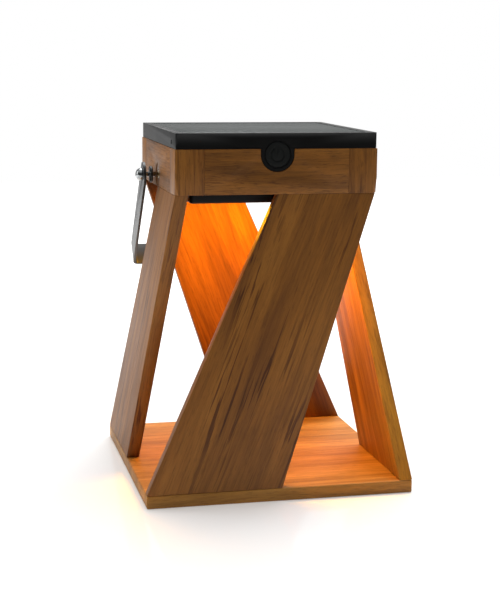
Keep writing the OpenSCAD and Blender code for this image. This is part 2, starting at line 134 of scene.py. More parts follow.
def settle(piece: Object, name: str) -> Object:
    """Names a new primitive and puts its place, turn and scale into its mesh.

    Args:
        piece: The object that a primitive operator has just made.
        name: The piece's name.

    Returns:
        The same object, at the origin.
    """
    piece.name = name
    piece.data.name = name
    pick(piece)
    bpy.ops.object.transform_apply(location=True, rotation=True, scale=True)
    return piece


def block(name: str, low: Vector, high: Vector) -> Object:
    """Adds a rectangular block between two corners.

    Args:
        name: The piece's name.
        low: The corner with the smallest x, y and z.
        high: The corner with the largest x, y and z.

    Returns:
        The block.
    """
    deselect()
    bpy.ops.mesh.primitive_cube_add(size=1, location=(Vector(low) + Vector(high)) / 2)
    piece = bpy.context.object
    piece.scale = Vector(high) - Vector(low)
    return settle(piece, name)


def rod(name: str, radius: float, start: Vector, end: Vector, sides: int = 64) -> Object:
    """Adds a round bar from one point to another.

    Args:
        name: The piece's name.
        radius: The bar's radius.
        start: The centre of one end.
        end: The centre of the other end.
        sides: How many flat faces go round it.

    Returns:
        The bar.
    """
    run = Vector(end) - Vector(start)
    deselect()
    bpy.ops.mesh.primitive_cylinder_add(
        vertices=sides, radius=radius, depth=run.length,
        location=(Vector(start) + Vector(end)) / 2, rotation=run.to_track_quat("Z", "Y").to_euler())
    return settle(bpy.context.object, name)


def round_edges(piece: Object, wanted: EdgeTest, width: float, segments: int) -> None:
    """Bevels the edges whose two ends pass a test.

    Args:
        piece: The piece that is changed.
        wanted: A test of the two end points of an edge.
        width: The bevel's width.
        segments: How many faces go round each edge.
    """
    pick(piece)
    bpy.ops.object.mode_set(mode="EDIT")
    bpy.ops.mesh.select_all(action="DESELECT")
    bpy.ops.object.mode_set(mode="OBJECT")
    points = piece.data.vertices
    for edge in piece.data.edges:
        edge.select = wanted(points[edge.vertices[0]].co, points[edge.vertices[1]].co)
    bpy.ops.object.mode_set(mode="EDIT")
    bpy.ops.mesh.select_mode(type="EDGE")
    bpy.ops.mesh.bevel(offset=width, segments=segments, profile=0.5, affect="EDGES")
    bpy.ops.object.mode_set(mode="OBJECT")


def upright(a: Vector, b: Vector) -> bool:
    """Tells whether an edge runs upward."""
    return abs(a.z - b.z) > MM


def slice_off(piece: Object, point: Vector, outward: Vector) -> None:
    """Cuts a piece with a plane, throws away what lies outward of it and closes the cut.

    Args:
        piece: The piece that is changed.
        point: A point in the plane.
        outward: The direction of what is thrown away.
    """
    pick(piece)
    bpy.ops.object.mode_set(mode="EDIT")
    bpy.ops.mesh.select_all(action="SELECT")
    bpy.ops.mesh.bisect(
        plane_co=point, plane_no=outward, use_fill=True, clear_outer=True, clear_inner=False)
    bpy.ops.object.mode_set(mode="OBJECT")


def combine(piece: Object, tool: Object, how: str) -> Object:
    """Joins, cuts or crosses a piece with a tool, and removes the tool.

    Args:
        piece: The piece that is changed.
        tool: The piece that is used up.
        how: UNION, DIFFERENCE or INTERSECT.

    Returns:
        The changed piece.
    """
    pick(piece)
    modifier = piece.modifiers.new("combine", "BOOLEAN")
    modifier.operation = how
    modifier.solver = "EXACT"
    modifier.object = tool
    bpy.ops.object.modifier_apply(modifier=modifier.name)
    bpy.data.objects.remove(tool)
    return piece


def ease(piece: Object, width: float, segments: int = 3, angle: float = 35.0) -> Object:
    """Rounds every edge that is sharper than an angle, and shades the piece smooth by angle.

    Args:
        piece: The piece that is changed.
        width: The rounding's width.
        segments: How many faces go round each edge.
        angle: The angle between faces, in degrees, above which an edge counts as sharp.

    Returns:
        The changed piece.
    """
    pick(piece)
    modifier = piece.modifiers.new("ease", "BEVEL")
    modifier.width = width
    modifier.segments = segments
    modifier.limit_method = "ANGLE"
    modifier.angle_limit = math.radians(angle)
    modifier.use_clamp_overlap = True
    modifier.miter_outer = "MITER_ARC"
    bpy.ops.object.modifier_apply(modifier=modifier.name)
    bpy.ops.object.shade_smooth_by_angle(angle=math.radians(angle))
    return piece


def turned_copy(piece: Object, name: str, side: Side) -> Object:
    """Copies a piece modelled on the front side to another side, with its own mesh.

    Args:
        piece: The piece on the front side.
        name: The copy's name.
        side: The side that it goes to.

    Returns:
        The copy.
    """
    copy = piece.copy()
    copy.data = piece.data.copy()
    copy.name = name
    copy.data.name = name
    bpy.context.scene.collection.objects.link(copy)
    copy.data.transform(side.turn.to_4x4())
    return copy


# ---------------------------------------------------------------- materials


Colour = tuple[float, float, float, float]
MULTIPLY = {"data_type": "RGBA", "blend_type": "MULTIPLY"}
BLEND = {"data_type": "RGBA", "blend_type": "MIX"}


def linear(hex_colour: str) -> Colour:
    """Turns an sRGB hex colour into a linear one.

    Args:
        hex_colour: Six hex digits, such as 6b4823.

    Returns:
        Linear red, green and blue, and an alpha of one.
    """
    parts = [int(hex_colour[i : i + 2], 16) / 255 for i in (0, 2, 4)]
    red, green, blue = (c / 12.92 if c <= 0.04045 else ((c + 0.055) / 1.055) ** 2.4 for c in parts)
    return (red, green, blue, 1.0)


def grey(level: float) -> Colour:
    """A linear grey, for ramps that drive a value."""
    return (level, level, level, 1.0)


def feed(tree: NodeTree, node: Node, sources: dict[str | int, NodeSocket | float | tuple]) -> None:
    """Links or sets a node's inputs.

    Args:
        tree: The tree that the node is in.
        node: The node.
        sources: Input name or number to the socket that feeds it, or to its plain value.
    """
    for name, source in sources.items():
        if isinstance(source, NodeSocket):
            tree.links.new(source, node.inputs[name])
        else:
            node.inputs[name].default_value = source


def add_node(tree: NodeTree, kind: str, sources: dict | None = None, stops: list | None = None,
             **settings) -> Node:
    """Adds a node with its settings and links.

    Args:
        tree: The node tree to add to.
        kind: The node's type name.
        sources: Input name or number to the socket that feeds it, or to its plain value.
        stops: The places and colours of a colour ramp.
        settings: Node attributes, or input values with the input's name in lower case.

    Returns:
        The new node.
    """
    node = tree.nodes.new(kind)
    sockets = {socket.name.lower().replace(" ", "_"): socket for socket in reversed(node.inputs)}
    for name, value in settings.items():
        if name in sockets:
            sockets[name].default_value = value
        else:
            setattr(node, name, value)
    feed(tree, node, sources or {})
    if stops:
        band = node.color_ramp.elements
        while len(band) < len(stops):
            band.new(0.5)
        for element, (place, colour) in zip(band, stops):
            element.position = place
            element.color = colour
    return node


def start_material(name: str) -> tuple[Material, NodeTree, Node, NodeSocket]:
    """Starts a node material.

    Args:
        name: The material's name.

    Returns:
        The material, its tree, its Principled shader and the object coordinates.
    """
    material = bpy.data.materials.new(name)
    material.use_nodes = True
    tree = material.node_tree
    tree.nodes.clear()
    shader = add_node(tree, "ShaderNodeBsdfPrincipled")
    add_node(tree, "ShaderNodeOutputMaterial", {"Surface": shader.outputs["BSDF"]})
    coords = add_node(tree, "ShaderNodeTexCoord").outputs["Object"]
    return material, tree, shader, coords


@dataclass(frozen=True)
class Timber:
    """Oiled teak, planed and lightly sanded: even warm brown, fine fibres, open pores, dark flames.

    The pattern runs along `grain`, and `across` is the width of the board's show face. Sizes that
    end in _mm are across the grain, and those that end in _long say how many times longer a mark is
    than wide. Real pores are about 0.2 mm wide, and are drawn coarser so that they show.
    """

    name: str
    grain: tuple[float, float, float]
    across: tuple[float, float, float]
    centre: tuple[float, float, float]
    light: str = "9a6528"
    middle: str = "86551f"
    dark: str = "70451a"
    flame: float = 1.0
    flame_mm: float = 3.4
    flame_long: float = 28.0
    flame_tint: Colour = (0.36, 0.3, 0.27, 1.0)
    cluster: float = 0.52
    cluster_mm: float = 38.0
    cluster_long: float = 4.5
    band_mm: float = 22.0
    band_long: float = 12.0
    drift_mm: float = 70.0
    drift_long: float = 5.0
    sway: float = 16 * MM
    fibre_mm: float = 1.6
    fibre_long: float = 22.0
    pore_mm: float = 0.8
    pore_long: float = 12.0
    pore: float = 0.2
    relief: float = 0.12 * MM
    roughness: float = 0.5
    ior: float = 1.46
    specular: float = 0.32

    def build(self) -> Material:
        """Makes the material.

        Returns:
            The material.
        """
        material, tree, shader, coords = start_material(self.name)
        along = Vector(self.grain).normalized()
        out = along.cross(Vector(self.across)).normalized()
        turn = Matrix((along, out.cross(along), out)).transposed().to_euler()
        place = add_node(
            tree, "ShaderNodeMapping", {"Vector": coords}, vector_type="TEXTURE",
            location=self.centre, rotation=turn).outputs["Vector"]
        drift = self.marks(tree, place, self.drift_mm, self.drift_long, 1.0).outputs["Color"]
        wander = add_node(
            tree, "ShaderNodeVectorMath", {0: drift, 1: (0.5, 0.5, 0.5)}, operation="SUBTRACT")
        sway = add_node(
            tree, "ShaderNodeVectorMath", {0: wander.outputs[0]}, operation="SCALE", scale=self.sway)
        bent = add_node(
            tree, "ShaderNodeVectorMath", {0: place, 1: sway.outputs[0]}, operation="ADD").outputs[0]
        bands = self.marks(tree, bent, self.band_mm, self.band_long, 3.0).outputs["Fac"]
        body = add_node(tree, "ShaderNodeValToRGB", {"Fac": bands}, stops=[
            (0.32, linear(self.dark)), (0.5, linear(self.middle)), (0.7, linear(self.light))])
        fibre = self.marks(tree, bent, self.fibre_mm, self.fibre_long, 4.0).outputs["Fac"]
        streak = add_node(tree, "ShaderNodeValToRGB", {"Fac": fibre}, stops=[
            (0.3, grey(0.8)), (0.5, grey(1.0)), (0.75, grey(1.16))])
        streaked = add_node(tree, "ShaderNodeMix", {
            0: 1.0, 6: body.outputs[0], 7: streak.outputs[0]}, **MULTIPLY)
        flamed = add_node(tree, "ShaderNodeMix", {
            0: self.flames(tree, bent), 6: streaked.outputs[2], 7: self.flame_tint}, **MULTIPLY)
        speckle = self.marks(tree, bent, self.pore_mm, self.pore_long, 1.5).outputs["Fac"]
        pores = add_node(tree, "ShaderNodeValToRGB", {"Fac": speckle}, stops=[
            (0.34, grey(0.0)), (0.42, grey(1.0))])
        oiled = add_node(tree, "ShaderNodeMix", {
            0: self.pore, 6: flamed.outputs[2], 7: pores.outputs[0]}, **MULTIPLY)
        gloss = add_node(tree, "ShaderNodeValToRGB", {"Fac": fibre}, stops=[
            (0.2, grey(self.roughness + 0.1)), (0.8, grey(self.roughness - 0.08))])
        height = add_node(tree, "ShaderNodeMix", {0: 0.5, 6: pores.outputs[0], 7: fibre}, **BLEND)
        bump = add_node(
            tree, "ShaderNodeBump", {"Height": height.outputs[2]}, strength=0.35, distance=self.relief)
        feed(tree, shader, {
            "Base Color": oiled.outputs[2], "Roughness": gloss.outputs[0], "IOR": self.ior,
            "Specular IOR Level": self.specular, "Normal": bump.outputs["Normal"]})
        return material

    def marks(
        self, tree: NodeTree, place: NodeSocket, wide_mm: float, longer: float, detail: float
    ) -> Node:
        """Adds marks of a real width that are drawn out along the grain.

        Args:
            tree: The node tree to add to.
            place: The coordinates, with x along the grain.
            wide_mm: How wide a mark is, in millimetres.
            longer: How many times longer a mark is than wide.
            detail: How many finer layers the noise has.

        Returns:
            The noise node.
        """
        scale = 1 / (wide_mm * MM)
        stretch = add_node(
            tree, "ShaderNodeMapping", {"Vector": place}, scale=(scale / longer, scale, scale))
        return add_node(
            tree, "ShaderNodeTexNoise", {"Vector": stretch.outputs[0]},
            scale=1.0, detail=detail, roughness=0.55, distortion=0.15)

    def flames(self, tree: NodeTree, place: NodeSocket) -> NodeSocket:
        """Adds the dark, pointed flames of late wood, which stand in clusters.

        Args:
            tree: The node tree to add to.
            place: The coordinates, with x along the grain.

        Returns:
            How dark the flames are, from nought to one.
        """
        thin = add_node(
            tree, "ShaderNodeValToRGB",
            {"Fac": self.marks(tree, place, self.flame_mm, self.flame_long, 3.0).outputs["Fac"]},
            stops=[(0.41, grey(1.0)), (0.465, grey(0.0))])
        spread = add_node(
            tree, "ShaderNodeValToRGB",
            {"Fac": self.marks(tree, place, self.cluster_mm, self.cluster_long, 1.0).outputs["Fac"]},
            stops=[(self.cluster - 0.08, grey(0.12)), (self.cluster + 0.1, grey(self.flame))])
        return add_node(
            tree, "ShaderNodeMix", {0: 1.0, 6: thin.outputs[0], 7: spread.outputs[0]},
            **MULTIPLY).outputs[2]


@dataclass(frozen=True)
class Surface:
    """A plain manufactured surface, with fine variation in colour, gloss and relief.

    `texture_mm` is the size of the surface's own grain. A moulded or sprayed grain is about 0.1 mm,
    and is drawn coarser so that it shows. `worn` is the colour that the surface varies to.
    """

    name: str
    colour: str
    worn: str
    roughness: float
    texture_mm: float
    relief_mm: float = 0.0
    metallic: float = 0.0
    variation: float = 0.35
    specular: float = 0.5
    ior: float = 1.5
    cloud_mm: float = 35.0

    def build(self) -> Material:
        """Makes the material.

        Returns:
            The material.
        """
        material, tree, shader, coords = start_material(self.name)
        scale = 1 / (self.texture_mm * MM)
        place = add_node(tree, "ShaderNodeMapping", {"Vector": coords}, scale=(scale, scale, scale))
        fine = add_node(
            tree, "ShaderNodeTexNoise", {"Vector": place.outputs[0]}, scale=1.0, detail=3.0)
        cloud = add_node(
            tree, "ShaderNodeTexNoise", {"Vector": coords}, scale=1 / (self.cloud_mm * MM), detail=3.0)
        blend = add_node(tree, "ShaderNodeMix", {
            0: 0.5, 6: fine.outputs["Fac"], 7: cloud.outputs["Fac"]}, **BLEND).outputs[2]
        colour = add_node(tree, "ShaderNodeValToRGB", {"Fac": blend}, stops=[
            (0.3, linear(self.colour)), (0.75, linear(self.worn))])
        swing = self.variation * self.roughness
        gloss = add_node(tree, "ShaderNodeValToRGB", {"Fac": blend}, stops=[
            (0.3, grey(max(self.roughness - swing, 0.02))), (0.7, grey(self.roughness + swing))])
        feed(tree, shader, {
            "Base Color": colour.outputs[0], "Roughness": gloss.outputs[0], "IOR": self.ior,
            "Metallic": self.metallic, "Specular IOR Level": self.specular})
        if self.relief_mm:
            bump = add_node(
                tree, "ShaderNodeBump", {"Height": fine.outputs["Fac"]}, strength=0.6,
                distance=self.relief_mm * MM)
            feed(tree, shader, {"Normal": bump.outputs["Normal"]})
        return material


@dataclass(frozen=True)
class CellFilm:
    """Monocrystalline solar cells: near-black blue with printed silver fingers and wider bus bars."""

    name: str
    silicon: tuple[str, str] = ("0d1118", "151b25")
    silver: tuple[str, str] = ("8f9699", "a3aaac")
    finger_mm: float = 2.0
    bus_mm: float = 13.6
    finger_bare: float = 0.94
    bus_bare: float = 0.93
    grain_mm: float = 4.0

    def build(self) -> Material:
        """Makes the material.

        Returns:
            The material.
        """
        material, tree, shader, coords = start_material(self.name)
        split = add_node(tree, "ShaderNodeSeparateXYZ", {"Vector": coords})
        fingers = self.lines(tree, split.outputs["X"], self.finger_mm, self.finger_bare)
        buses = self.lines(tree, split.outputs["Y"], self.bus_mm, self.bus_bare)
        marks = add_node(
            tree, "ShaderNodeMath", {0: fingers, 1: buses}, operation="MAXIMUM").outputs[0]
        grain = add_node(
            tree, "ShaderNodeTexNoise", {"Vector": coords}, scale=1 / (self.grain_mm * MM),
            detail=2.0).outputs["Fac"]
        silicon = add_node(tree, "ShaderNodeValToRGB", {"Fac": grain}, stops=[
            (0.3, linear(self.silicon[0])), (0.7, linear(self.silicon[1]))])
        silver = add_node(tree, "ShaderNodeValToRGB", {"Fac": grain}, stops=[
            (0.0, linear(self.silver[0])), (1.0, linear(self.silver[1]))])
        film = add_node(tree, "ShaderNodeMix", {
            0: marks, 6: silicon.outputs[0], 7: silver.outputs[0]}, **BLEND)
        gloss = add_node(tree, "ShaderNodeValToRGB", {"Fac": marks}, stops=[
            (0.0, grey(0.3)), (1.0, grey(0.45))])
        feed(tree, shader, {
            "Base Color": film.outputs[2], "Roughness": gloss.outputs[0], "IOR": 1.5})
        return material

    def lines(self, tree: NodeTree, place: NodeSocket, pitch_mm: float, bare: float) -> NodeSocket:
        """Adds evenly spaced lines along one axis.

        Args:
            tree: The node tree to add to.
            place: The coordinate across the lines.
            pitch_mm: From one line to the next, in millimetres.
            bare: The share of the pitch that lies between the lines.

        Returns:
            One on a line and nought between.
        """
        step = add_node(tree, "ShaderNodeMath", {0: place, 1: pitch_mm * MM}, operation="DIVIDE")
        part = add_node(tree, "ShaderNodeMath", {0: step.outputs[0]}, operation="FRACT")
        return add_node(
            tree, "ShaderNodeMath", {0: part.outputs[0], 1: bare}, operation="GREATER_THAN").outputs[0]


@dataclass(frozen=True)
class PanelGlass:
    """Satin-faced solar glass: a grey sheen at a low angle, and faint cells below it from above."""

    name: str
    tints: tuple[str, str] = ("1a2623", "1f2c28")
    roughness: float = 0.26
    cover: float = 0.76
    wave_mm: float = 30.0

    def build(self) -> Material:
        """Makes the material.

        Returns:
            The material.
        """
        material, tree, shader, coords = start_material(self.name)
        wave = add_node(
            tree, "ShaderNodeTexNoise", {"Vector": coords}, scale=1 / (self.wave_mm * MM),
            detail=2.0).outputs["Fac"]
        tint = add_node(tree, "ShaderNodeValToRGB", {"Fac": wave}, stops=[
            (0.2, linear(self.tints[0])), (0.8, linear(self.tints[1]))])
        smear = add_node(tree, "ShaderNodeValToRGB", {"Fac": wave}, stops=[
            (0.3, grey(self.roughness * 0.98)), (0.7, grey(self.roughness * 1.02))])
        bump = add_node(
            tree, "ShaderNodeBump", {"Height": wave}, strength=0.02, distance=0.02 * MM)
        feed(tree, shader, {
            "Base Color": tint.outputs[0], "Roughness": smear.outputs[0], "Alpha": self.cover,
            "IOR": 1.5, "Normal": bump.outputs["Normal"]})
        return material


@dataclass(frozen=True)
class LitOpal:
    """Opal acrylic lit from behind by warm white LEDs: brightest over the lamp board."""

    name: str
    glow: str
    strength: float
    rim_glow: str = "ff9a3c"
    skin: tuple[str, str] = ("f2e4cf", "fbf1e2")
    half_mm: float = 62.0
    haze_mm: float = 6.0

    def build(self) -> Material:
        """Makes the material.

        Returns:
            The material.
        """
        material, tree, shader, coords = start_material(self.name)
        middle = add_node(tree, "ShaderNodeMapping", {"Vector": coords}, scale=(1.0, 1.0, 0.0))
        reach = add_node(
            tree, "ShaderNodeVectorMath", {0: middle.outputs[0]}, operation="LENGTH").outputs["Value"]
        share = add_node(
            tree, "ShaderNodeMath", {0: reach, 1: self.half_mm * MM}, operation="DIVIDE")
        glow = add_node(tree, "ShaderNodeValToRGB", {"Fac": share.outputs[0]}, stops=[
            (0.0, linear(self.glow)), (1.0, linear(self.rim_glow))])
        haze = add_node(
            tree, "ShaderNodeTexNoise", {"Vector": coords}, scale=1 / (self.haze_mm * MM), detail=2.0)
        skin = add_node(tree, "ShaderNodeValToRGB", {"Fac": haze.outputs["Fac"]}, stops=[
            (0.3, linear(self.skin[0])), (0.7, linear(self.skin[1]))])
        feed(tree, shader, {
            "Base Color": skin.outputs[0], "Roughness": 0.35, "Subsurface Weight": 0.2,
            "Emission Color": glow.outputs[0], "Emission Strength": self.strength})
        return material


# ---------------------------------------------------------------- layout


SEAT_GAP = 0.3 * MM
FLANGE_LIP = 1 * MM
TAB_MARGIN = 4.2 * MM


@dataclass(frozen=True)
class Layout:
    """The sizes and places that the sub-assemblies share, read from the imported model."""

    base_half: float
    base_t: float
    collar_z: float
    collar_top: float
    collar_half: float
    opening_half: float
    post_inner: float
    rim_z: float
    rim_half: float
    rim_top: float
    glass_low: Vector
    glass_high: Vector
    tray_half: float
    tray_low: float
    dish_depth: float
    button_low: Vector
    button_high: Vector
    pivot: Vector
    rest: Vector

    @classmethod
    def from_frame(cls) -> "Layout":
        """Reads the layout from the CAD boxes, mounts and joints.

        Returns:
            The layout.
        """
        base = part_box("base_board")
        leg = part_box("front_leg")
        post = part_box("front_left_post")
        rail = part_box("front_rail")
        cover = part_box("top_cover")
        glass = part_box("panel_glass")
        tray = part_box("lamp_tray")
        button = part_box("power_button")
        return cls(
            base_half=base[1].x, base_t=base[1].z, collar_z=leg[1].z, collar_top=post[1].z,
            collar_half=-post[0].x, opening_half=-rail[1].y, post_inner=-post[1].x,
            rim_z=post[1].z + SEAT_GAP, rim_half=cover[1].x, rim_top=cover[1].z,
            glass_low=glass[0], glass_high=glass[1], tray_half=tray[1].x, tray_low=tray[0].z,
            dish_depth=-post[0].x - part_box("pivot_inserts")[1].x,
            button_low=button[0], button_high=button[1],
            pivot=Vector(JOINTS["handle_swing"]["pos_m"]), rest=Vector(MOUNTS["carry_grip"]["axis"]))

    @property
    def button_z(self) -> float:
        """Height of the button's centre."""
        return (self.button_low.z + self.button_high.z) / 2

    @property
    def flange_r(self) -> float:
        """Radius of the button's hidden flange."""
        return (self.button_high.x - self.button_low.x) / 2

    @property
    def button_r(self) -> float:
        """Radius of the button's face."""
        return self.flange_r - FLANGE_LIP

    @property
    def tab_r(self) -> float:
        """Radius of the tab around the button."""
        return self.button_r + TAB_MARGIN

    @property
    def lean(self) -> float:
        """Angle of the leaning boards from upright."""
        return math.atan2(self.base_half - self.collar_half, self.collar_z - self.base_t)


# ---------------------------------------------------------------- timber


@dataclass
class TimberFrame:
    """The base board, four leaning boards and the glued collar."""

    at: Layout
    leg_t: float = 13 * MM
    foot_w: float = 133.5 * MM
    head_w: float = 98.5 * MM
    head_inset: float = 1.5 * MM
    edge: float = 0.7 * MM
    joint_edge: float = 0.45 * MM
    corner_cut: float = 3 * MM
    corner_cut_h: float = 16 * MM
    corner_r: float = 1.6 * MM
    screw_r: float = 4.1 * MM
    screw_deep: float = 2.1 * MM
    screw_inset: float = 30 * MM
    screw_back: float = 0.5 * MM
    notch_gap: float = 0.5 * MM
    dish_r: float = 11.5 * MM
    lip_w: float = 0.7 * MM
    insert_r: float = 4 * MM
    insert_deep: float = 11 * MM

    def build(self) -> None:
        """Models and dresses every timber piece."""
        self.base()
        self.legs()
        self.posts()
        self.rails()

    def base(self) -> None:
        """Models the base board, with its screw holes below."""
        half = self.at.base_half
        board = block("base_board_oiled", (-half, -half, 0), (half, half, self.at.base_t))
        round_edges(board, upright, self.corner_r, 4)
        self.drill_feet(board)
        ease(board, self.edge)
        centre = (0.03, -0.02, -0.004)
        # Paler than the boards, with hardly a flame.
        timber = Timber(
            "oiled_teak_base", (1, 0, 0), (0, 1, 0), centre, light="b98540", middle="a3702e",
            dark="8f6225", flame=0.3, flame_mm=5.0, pore=0.25)
        place_piece(board, timber.build(), Body.STAND, ["base_board"])

    def drill_feet(self, board: Object) -> None:
        """Sinks the holes for the screws that come up into the boards' feet.

        Args:
            board: The base board.
        """
        half = self.at.base_half
        row = -half + self.leg_t / 2 + self.screw_back
        up = Vector((0, 0, self.screw_deep + MM))
        for side in Side:
            for x in (-half + self.screw_inset, -half + self.foot_w - self.screw_inset):
                foot = side.turn @ Vector((x, row, -MM))
                hole = rod("hole", self.screw_r, foot, foot + up, 32)
                combine(board, hole, "DIFFERENCE")

    def legs(self) -> None:
        """Models one leaning board and turns it to the four sides."""
        at = self.at
        rise = at.collar_z - at.base_t
        foot = Vector((-at.base_half, -at.base_half, at.base_t))
        head = Vector((at.collar_half - self.head_inset, -at.collar_half, at.collar_z))
        low = Vector((-2 * at.base_half, -self.leg_t, -rise))
        high = Vector((2 * at.base_half, 0, 2 * rise))
        board = block("front_board_oiled", low, high)
        board.data.transform(Matrix.Rotation(-at.lean, 4, "X"))
        back = -at.base_half + self.leg_t / math.cos(at.lean)
        board.data.transform(Matrix.Translation((0, back, at.base_t)))
        face = Vector((0, -math.cos(at.lean), math.sin(at.lean)))
        left_edge = Vector((head.x - self.head_w, head.y, head.z)) - foot
        right_edge = head - Vector((foot.x + self.foot_w, foot.y, foot.z))
        slice_off(board, foot, face.cross(left_edge))
        slice_off(board, head, right_edge.cross(face))
        slice_off(board, Vector((0, 0, at.base_t)), Vector((0, 0, -1)))
        slice_off(board, Vector((0, 0, at.collar_z)), Vector((0, 0, 1)))
        ease(board, self.edge)
        along = (left_edge.normalized() + right_edge.normalized()).normalized()
        across = face.cross(along)
        middle = (foot + head) / 2
        # Painted light: the right board is painted paler and oranger for the light on its front edge
        # and inner face, and the rear one red-orange for the lamp's warm glow on its inner face; each
        # board has its own stretch of grain.
        painted_light_tones_and_flames = {
            Side.RIGHT: {"light": "c98c2a", "middle": "ad731f", "dark": "8a5914", "flame": 0.4},
            Side.REAR: {"light": "a16410", "middle": "834e0a", "dark": "603606", "flame": 0.4}}
        shifts = {Side.FRONT: (0.35, 0.01), Side.RIGHT: (0.43, -0.013), Side.REAR: (0.77, 0.008),
                  Side.LEFT: (1.31, -0.03)}
        for side in Side:
            word = side.word
            piece = board if side is Side.FRONT else turned_copy(board, word + "_board_oiled", side)
            shift, aside = shifts[side]
            centre = side.turn @ (middle + along * shift + across * aside)
            timber = Timber(
                "oiled_teak_" + word, tuple(side.turn @ along), tuple(side.turn @ across),
                tuple(centre), **painted_light_tones_and_flames.get(side, {}))
            place_piece(piece, timber.build(), Body.STAND, [word + "_leg"])

    def posts(self) -> None:
        """Models one corner post and turns it to the four corners."""
        at = self.at
        half = at.collar_half
        inner = at.post_inner
        post = block(
            "front_left_post_oiled", (-half, -half, at.collar_z), (-inner, -inner, at.collar_top))
        well = block(
            "well", (-at.opening_half, -at.opening_half, at.collar_z - MM), (0, 0, at.collar_top + MM))
        combine(post, well, "DIFFERENCE")
        outward = Vector((-1, -1, 0)).normalized()
        back = self.corner_cut / math.sqrt(2)
        tilt = math.atan2(back, self.corner_cut_h)
        normal = outward * math.cos(tilt) + Vector((0, 0, -math.sin(tilt)))
        slice_off(post, Vector((-half, -half, at.collar_z + self.corner_cut_h)), normal)
        ease(post, self.joint_edge, 2)
        spots = {Side.FRONT: "front_left", Side.RIGHT: "front_right", Side.REAR: "rear_right",
                 Side.LEFT: "rear_left"}
        for side, word in spots.items():
            piece = post if side is Side.FRONT else turned_copy(post, word + "_post_oiled", side)
            heart = Vector((-half - 4 * MM, -half + 11 * MM, at.collar_z + 0.2 * (side.value + 1)))
            # Upright, straight-grained blocks: short thin flames and more open pores.
            timber = Timber(
                "oiled_teak_" + word + "_post", (0, 0, 1), tuple(side.turn @ Vector((1, 0, 0))),
                tuple(side.turn @ heart), flame=0.5, flame_mm=3.0, pore=0.35)
            place_piece(piece, timber.build(), Body.STAND, [word + "_post"])

    def rails(self) -> None:
        """Models the four rails: one notched for the tab, two drilled for the handle's pivots."""
        at = self.at
        half = at.collar_half
        inner = at.post_inner
        low = Vector((-inner, -half, at.collar_z))
        plain = block("rear_rail_oiled", low, (inner, -at.opening_half, at.collar_top))
        for side in Side:
            word = side.word
            rail = turned_copy(plain, word + "_rail_oiled", side)
            if side is Side.FRONT:
                self.notch(rail)
            elif side is not Side.REAR:
                self.dish(rail, 1 if side is Side.RIGHT else -1)
            ease(rail, self.joint_edge, 2)
            heart = Vector((0.05 + 0.3 * side.value, -half, at.collar_z + 6 * MM))
            # Close-grained strips: fine, short flames along them.
            timber = Timber(
                "oiled_teak_" + word + "_rail", tuple(side.turn @ Vector((1, 0, 0))), (0, 0, 1),
                tuple(side.turn @ heart), dark="56340f", flame=0.45, flame_mm=1.5,
                flame_long=10.0, pore=0.4)
            place_piece(rail, timber.build(), Body.STAND, [word + "_rail"])
        bpy.data.objects.remove(plain)

    def notch(self, rail: Object) -> None:
        """Cuts the U-shaped notch that the module's tab hangs in.

        Args:
            rail: The front rail.
        """
        at = self.at
        radius = at.tab_r + self.notch_gap
        front = -at.collar_half - MM
        back = -at.opening_half + MM
        round_part = rod("round_part", radius, (0, front, at.button_z), (0, back, at.button_z), 96)
        combine(rail, round_part, "DIFFERENCE")
        slot = block("slot", (-radius, front, at.button_z), (radius, back, at.collar_top + MM))
        combine(rail, slot, "DIFFERENCE")

    def dish(self, rail: Object, sign: int) -> None:
        """Cuts a pivot's shallow counterbore and the hole for its insert.

        Args:
            rail: The right or the left rail.
            sign: 1 for the right rail, -1 for the left one.
        """
        at = self.at
        depth = at.dish_depth
        for radius, deep in ((self.dish_r, depth), (self.insert_r, depth + self.insert_deep)):
            start = Vector((sign * (at.collar_half - deep), 0, at.pivot.z))
            end = Vector((sign * (at.collar_half + MM), 0, at.pivot.z))
            combine(rail, rod("hole", radius, start, end, 72), "DIFFERENCE")

        def on_lip(a: Vector, b: Vector) -> bool:
            """Tells whether an edge lies on the counterbore's outer rim.

            Args:
                a: One end of the edge.
                b: Its other end.

            Returns:
                Whether both ends are on the rim.
            """
            spans = (math.hypot(p.y, p.z - at.pivot.z) for p in (a, b))
            outer = min(abs(a.x), abs(b.x)) > at.collar_half - NEAR / 2
            return outer and all(abs(span - self.dish_r) < NEAR for span in spans)

        round_edges(rail, on_lip, self.lip_w, 2)


def place_piece(
    piece: Object, material: Material, body: Body, stands_for: list[str]
) -> None:
    """Dresses a piece, puts it on its body and hides the CAD nodes that it stands for.

    Args:
        piece: The finished piece.
        material: Its material.
        body: The body that it rides on.
        stands_for: The CAD nodes that it replaces.
    """
    piece.data.materials.clear()
    piece.data.materials.append(material)
    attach(piece, body.value)
    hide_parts(*stands_for)
    log.info("piece %s on %s, %d faces", piece.name, body.value, len(piece.data.polygons))


# ---------------------------------------------------------------- lamp module


